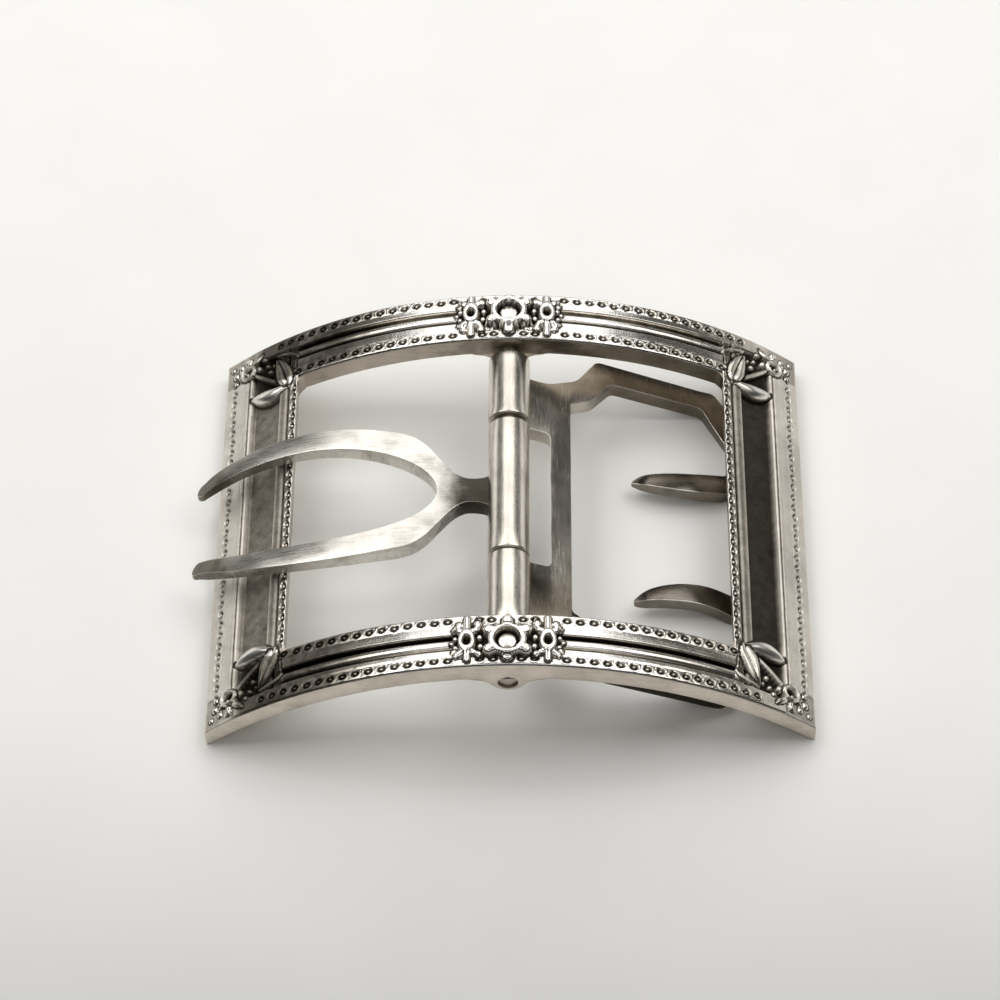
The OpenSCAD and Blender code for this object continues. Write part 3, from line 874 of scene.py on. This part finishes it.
def spindle(material):
    """The pin, with a domed end in each boss."""
    end = HALF_W - 0.15
    dome = [(end, 0.0), (end - 0.02, 0.5), (end - 0.1, 0.9), (end - 0.22, 1.15), (end - 0.4, SPINDLE_R)]
    profile = [(-y, r) for y, r in dome] + [(y, r) for y, r in dome[::-1]]
    obj = lathe("spindle_pin", profile, material, "frame", 48)
    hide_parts("spindle")
    return obj


# ---------------------------------------------------------------- materials

def node_kit(name):
    """A new material, its tree and shader, and a function that adds a node with its inputs and settings."""
    mat = bpy.data.materials.new(name)
    mat.use_nodes = True
    tree = mat.node_tree
    shader = tree.nodes["Principled BSDF"]

    def add(kind, inputs=None, **settings):
        node = tree.nodes.new(kind)
        for key, value in settings.items():
            setattr(node, key, value)
        for key, value in (inputs or {}).items():
            if isinstance(value, bpy.types.NodeSocket):
                tree.links.new(value, node.inputs[key])
            else:
                node.inputs[key].default_value = value
        return node

    return mat, tree, shader, add


def ramp(node, stops):
    """Set a colour ramp's stops, as (place, colour)."""
    elements = node.color_ramp.elements
    while len(elements) > 1:
        elements.remove(elements[-1])
    for k, (place, colour) in enumerate(stops):
        e = elements[0] if k == 0 else elements.new(place)
        e.position = place
        e.color = (*colour, 1)


def brushed(add, coords, stretch, scale, detail=4.0):
    """Long scratches: noise squeezed across the brushing direction."""
    mapping = add("ShaderNodeMapping", {"Vector": coords, "Scale": stretch})
    return add("ShaderNodeTexNoise", {"Vector": mapping.outputs[0], "Scale": scale, "Detail": detail,
                                      "Roughness": 0.6})


def multiply(add, colour, by):
    """A colour dimmed by a varying value."""
    node = add("ShaderNodeVectorMath", {0: colour, 1: by}, operation="MULTIPLY")
    return node.outputs[0]


def silver_material():
    """Cast silver-coloured metal, darkened by patina in its recesses and by painted shade, and worn bright on
    its high places.
    """
    mat, tree, shader, add = node_kit("antiqued_silver")
    coords = add("ShaderNodeTexCoord").outputs["Object"]
    # The darkness attribute holds patina in the recesses and painted shade
    patina_and_shade = add("ShaderNodeAttribute", attribute_name="patina_and_shade").outputs["Fac"]
    satin = add("ShaderNodeAttribute", attribute_name="satin").outputs["Fac"]
    grain = add("ShaderNodeTexNoise", {"Vector": coords, "Scale": 900.0, "Detail": 5.0, "Roughness": 0.65})
    broad = add("ShaderNodeTexNoise", {"Vector": coords, "Scale": 160.0, "Detail": 3.0})
    scratch = brushed(add, coords, (0.06, 1.0, 0.3), 5000.0)
    along = brushed(add, coords, (1.0, 0.05, 1.0), 3800.0)
    uneven = add("ShaderNodeMath", {0: grain.outputs["Fac"], 1: 0.4, 2: -0.2}, operation="MULTIPLY_ADD")
    # Darkening from patina and painted shade, with uneven grain; depth below is that darkening plus a little
    # satin
    darkening = add("ShaderNodeMath", {0: patina_and_shade, 1: uneven.outputs[0]}, operation="ADD", use_clamp=True)
    depth = add("ShaderNodeMath", {0: satin, 1: 0.05, 2: darkening.outputs[0]},
                operation="MULTIPLY_ADD", use_clamp=True)
    tint = add("ShaderNodeValToRGB", {"Fac": depth.outputs[0]})
    ramp(tint, [(0.0, (0.80, 0.775, 0.74)), (0.06, (0.75, 0.705, 0.64)), (0.12, (0.69, 0.645, 0.58)),
                (0.3, (0.44, 0.405, 0.355)), (0.6, (0.10, 0.087, 0.071)), (1.0, (0.018, 0.0145, 0.0115))])
    cloudy = add("ShaderNodeMapRange", {"Value": broad.outputs["Fac"], "From Min": 0.3, "From Max": 0.7,
                                        "To Min": 0.8, "To Max": 1.04})
    tree.links.new(multiply(add, tint.outputs[0], cloudy.outputs[0]), shader.inputs["Base Color"])
    shader.inputs["Metallic"].default_value = 1.0
    base = add("ShaderNodeMapRange", {"Value": depth.outputs[0], "To Min": 0.2, "To Max": 0.45})
    rough = add("ShaderNodeMath", {0: satin, 1: 0.33, 2: base.outputs[0]}, operation="MULTIPLY_ADD")
    tree.links.new(rough.outputs[0], shader.inputs["Roughness"])
    rub = add("ShaderNodeBump", {"Height": scratch.outputs["Fac"], "Strength": 0.3, "Distance": 0.00004})
    wear = add("ShaderNodeBump", {"Height": along.outputs["Fac"], "Strength": 0.2, "Distance": 0.00004,
                                  "Normal": rub.outputs[0]})
    pits = add("ShaderNodeBump", {"Height": grain.outputs["Fac"], "Strength": 0.25, "Distance": 0.00006,
                                  "Normal": wear.outputs[0]})
    tree.links.new(pits.outputs[0], shader.inputs["Normal"])
    return mat


def plain_metal(name, bright, dull, stretch, scale, rough, strength, shade_masks=()):
    """Brushed metal with long scratches and a cloudy tone.

    A mask paints shade along an axis, dimming it from nothing at its clear place down to a least brightness
    at its dim place, as (axis, dim place, clear place, least)."""
    mat, tree, shader, add = node_kit(name)
    coords = add("ShaderNodeTexCoord").outputs["Object"]
    lines = brushed(add, coords, stretch, scale, 6.0)
    fine = brushed(add, coords, stretch, scale * 2.3, 3.0)
    broad = add("ShaderNodeTexNoise", {"Vector": coords, "Scale": 240.0, "Detail": 4.0, "Roughness": 0.6})
    both = add("ShaderNodeMath", {0: lines.outputs["Fac"], 1: 0.6, 2: broad.outputs["Fac"]},
               operation="MULTIPLY_ADD")
    tint = add("ShaderNodeValToRGB", {"Fac": both.outputs[0]})
    ramp(tint, [(0.5, dull), (0.8, bright), (1.0, tuple(min(1, c * 1.15) for c in bright))])
    colour = tint.outputs[0]
    place = add("ShaderNodeSeparateXYZ", {"Vector": coords})
    for axis, dim, clear, least in shade_masks:
        patchy = add("ShaderNodeMath", {0: broad.outputs["Fac"], 1: (clear - dim) * 0.9 * MM,
                                        2: place.outputs[axis]}, operation="MULTIPLY_ADD")
        fade = add("ShaderNodeMapRange", {"Value": patchy.outputs[0], "From Min": dim * MM,
                                          "From Max": clear * MM}, interpolation_type="SMOOTHSTEP")
        shade = add("ShaderNodeValToRGB", {"Fac": fade.outputs[0]})
        ramp(shade, [(0.0, (least, least * 0.93, least * 0.82)), (1.0, (1.0, 1.0, 1.0))])
        colour = multiply(add, colour, shade.outputs[0])
    tree.links.new(colour, shader.inputs["Base Color"])
    shader.inputs["Metallic"].default_value = 1.0
    level = add("ShaderNodeMapRange", {"Value": lines.outputs["Fac"], "From Min": 0.3, "From Max": 0.7,
                                       "To Min": rough - 0.03, "To Max": rough + 0.04})
    tree.links.new(level.outputs[0], shader.inputs["Roughness"])
    first = add("ShaderNodeBump", {"Height": lines.outputs["Fac"], "Strength": strength,
                                   "Distance": 0.00006})
    second = add("ShaderNodeBump", {"Height": fine.outputs["Fac"], "Strength": strength * 0.6,
                                    "Distance": 0.00003, "Normal": first.outputs[0]})
    tree.links.new(second.outputs[0], shader.inputs["Normal"])
    return mat


def floor_material():
    """White paper, with painted shade that dims it towards the front."""
    mat, tree, shader, add = node_kit("studio_paper")
    coords = add("ShaderNodeTexCoord").outputs["Object"]
    fibre = add("ShaderNodeTexNoise", {"Vector": coords, "Scale": 60.0, "Detail": 6.0})
    place = add("ShaderNodeSeparateXYZ", {"Vector": coords}).outputs["Y"]
    # Painted shade: the paper darkens towards the front, where the light falls off
    fall = add("ShaderNodeMapRange", {"Value": place, "From Min": -0.11, "From Max": -0.01,
                                      "To Min": 0.64, "To Max": 1.0}, interpolation_type="SMOOTHSTEP")
    tint = add("ShaderNodeValToRGB", {"Fac": fibre.outputs["Fac"]})
    ramp(tint, [(0.3, (0.925, 0.918, 0.898)), (0.7, (0.95, 0.943, 0.923))])
    tree.links.new(multiply(add, tint.outputs[0], fall.outputs[0]), shader.inputs["Base Color"])
    shader.inputs["Roughness"].default_value = 0.9
    shader.inputs["Specular IOR Level"].default_value = 0.1
    return mat


# ---------------------------------------------------------------- stage, light and camera

# The stage, the lights and the camera's clipping are in metres
FLOOR_HALF = 1.6
LIGHT_SHIFT = 0.14


def stage():
    """The floor that the buckle lies on."""
    bm = bmesh.new()
    bmesh.ops.create_grid(bm, x_segments=8, y_segments=8, size=FLOOR_HALF)
    bmesh.ops.translate(bm, vec=(0, 0, BASE_Z * MM), verts=bm.verts)
    mesh = bpy.data.meshes.new("floor")
    bm.to_mesh(mesh)
    bm.free()
    floor = bpy.data.objects.new("floor", mesh)
    mesh.materials.append(floor_material())
    bpy.context.scene.collection.objects.link(floor)


def area_light(name, azimuth, elevation, distance, size, power, colour):
    """A soft panel aimed at a point that lies LIGHT_SHIFT behind the middle of the buckle.

    Azimuth 0 is behind that point (+Y) and 90 is on its right (+X)."""
    light = bpy.data.lights.new(name, "AREA")
    light.shape = "RECTANGLE"
    light.size, light.size_y = size
    light.energy = power
    light.color = colour
    obj = bpy.data.objects.new(name, light)
    az, el = math.radians(azimuth), math.radians(elevation)
    place = Vector((math.sin(az) * math.cos(el), math.cos(az) * math.cos(el), math.sin(el))) * distance
    obj.location = place + Vector((0, LIGHT_SHIFT, 0))
    obj.rotation_euler = (-place).to_track_quat("-Z", "Y").to_euler()
    bpy.context.scene.collection.objects.link(obj)


def lights():
    """A dim sky and six soft panels."""
    world = bpy.data.worlds.new("studio")
    bpy.context.scene.world = world
    world.use_nodes = True
    back = world.node_tree.nodes["Background"]
    back.inputs["Color"].default_value = (0.97, 0.98, 1.0, 1)
    back.inputs["Strength"].default_value = 0.035
    area_light("back_softbox", 0, 52, 0.5, (0.51, 0.69), 1.78, (1.0, 0.995, 0.98))
    area_light("left_softbox", -103, 58, 0.5, (0.33, 0.33), 0.9, (1.0, 0.995, 0.975))
    area_light("right_softbox", 103, 58, 0.5, (0.33, 0.33), 0.9, (1.0, 0.995, 0.975))
    area_light("left_card", -67, 10, 0.455, (0.35, 0.16), 0.24, (1.0, 0.99, 0.97))
    area_light("right_card", 67, 10, 0.455, (0.35, 0.16), 0.18, (1.0, 0.99, 0.97))
    area_light("front_fill", 178, 50, 1.0, (0.8, 0.5), 1.25, (1.0, 0.995, 0.975))


# The camera was fitted to the photograph. Angles are in degrees and lengths in millimetres
CAMERA_AZIMUTH = 2.07
CAMERA_ELEVATION = 54.0
CAMERA_ROLL = -2.19
CAMERA_DISTANCE = 420.0
CAMERA_AIM = (-1.14, 0, -1.92)
CAMERA_LENS = 120.555
CAMERA_SENSOR = 36


def camera():
    """The photograph's camera, in front of the buckle, above it and turned a little about its own axis."""
    az, el = math.radians(CAMERA_AZIMUTH), math.radians(CAMERA_ELEVATION)
    roll = math.radians(CAMERA_ROLL)
    back = Vector((math.sin(az) * math.cos(el), -math.cos(az) * math.cos(el), math.sin(el)))
    right = Vector((math.cos(az), math.sin(az), 0))
    up = right.cross(-back)
    across = right * math.cos(roll) + up * math.sin(roll)
    upright = up * math.cos(roll) - right * math.sin(roll)
    data = bpy.data.cameras.new("camera")
    data.sensor_width = CAMERA_SENSOR
    data.lens = CAMERA_LENS
    data.clip_start = 0.01
    data.clip_end = 20
    obj = bpy.data.objects.new("camera", data)
    turn = Matrix((across, upright, back)).transposed()
    place = Vector(CAMERA_AIM) * MM + back * CAMERA_DISTANCE * MM
    obj.matrix_world = Matrix.Translation(place) @ turn.to_4x4()
    bpy.context.scene.collection.objects.link(obj)
    bpy.context.scene.camera = obj


# ---------------------------------------------------------------- the buckle

silver = silver_material()
side_metal = plain_metal(
    "satin_side", (0.66, 0.605, 0.525), (0.46, 0.41, 0.34), (0.05, 1.0, 1.0), 4500.0, 0.36, 0.3)
# The opening's walls are the frame's side metal painted darker, as shade, and darker still towards +X
shaded_wall_metal = plain_metal(
    "satin_wall_painted_shade", (0.44, 0.395, 0.335), (0.25, 0.215, 0.175), (0.05, 1.0, 1.0), 4500.0, 0.33, 0.3,
    [("X", 2, -22, 0.36)])
# The masks paint shade on the tongue, darker towards its tips and towards its neck by the barrel
tongue_metal = plain_metal(
    "brushed_tongue", (0.67, 0.64, 0.595), (0.38, 0.352, 0.31), (0.04, 1.0, 0.12), 7000.0, 0.28, 0.08,
    [("X", -34, -25.5, 0.2), ("X", -7.5, -13, 0.07)])
barrel_metal = plain_metal(
    "brushed_barrel", (0.66, 0.615, 0.55), (0.47, 0.43, 0.37), (1.0, 0.06, 1.0), 4500.0, 0.28, 0.06)
# The tongue's rounded edges are lighter than its faces, worn bright and a painted highlight; the masks paint
# shade towards the tips and the neck
tongue_edge = plain_metal(
    "tongue_edge_worn_and_highlit", (0.74, 0.71, 0.67), (0.5, 0.47, 0.43), (0.05, 1.0, 0.12), 5000.0, 0.24, 0.08,
    [("X", -38, -31, 0.35), ("X", -5, -9, 0.55)])
# The chape's metal is painted darker than the tongue's, as shade, and its masks paint more shade towards its
# loop (+X) and towards the front (-Y)
chape_metal = plain_metal(
    "brushed_chape", (0.54, 0.495, 0.435), (0.34, 0.306, 0.262), (1.0, 0.08, 1.0), 5200.0, 0.24, 0.12,
    [("X", 11.5, 6.5, 0.3), ("Y", -12, -2, 0.3)])
# The plate's rounded edges are lighter than its faces, worn bright and a painted highlight
chape_edge = plain_metal(
    "chape_edge_worn_and_highlit", (0.66, 0.62, 0.57), (0.3, 0.27, 0.235), (1.0, 0.3, 1.0), 3500.0, 0.24, 0.12)
# The teeth are painted far darker than the plate they belong to, as shade
tooth_metal = plain_metal(
    "brushed_teeth", (0.2, 0.178, 0.15), (0.075, 0.064, 0.052), (0.05, 1.0, 1.0), 4500.0, 0.2, 0.2)
pin_metal = plain_metal(
    "polished_pin", (0.4, 0.36, 0.31), (0.13, 0.11, 0.085), (1.0, 0.6, 1.0), 2500.0, 0.32, 0.5)
frame_pieces = [
    relief_mesh("frame_relief_front", True, silver), relief_mesh("frame_relief_back", False, silver),
    frame_body(side_metal), opening_wall(shaded_wall_metal)]
for piece in frame_pieces:
    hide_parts("frame")
spindle(pin_metal)
tongue(tongue_metal, tongue_edge, barrel_metal)
chape(chape_metal, tooth_metal, chape_edge, barrel_metal)
stage()
lights()
camera()
bpy.context.scene.view_settings.view_transform = "Standard"

bpy.context.view_layer.update()
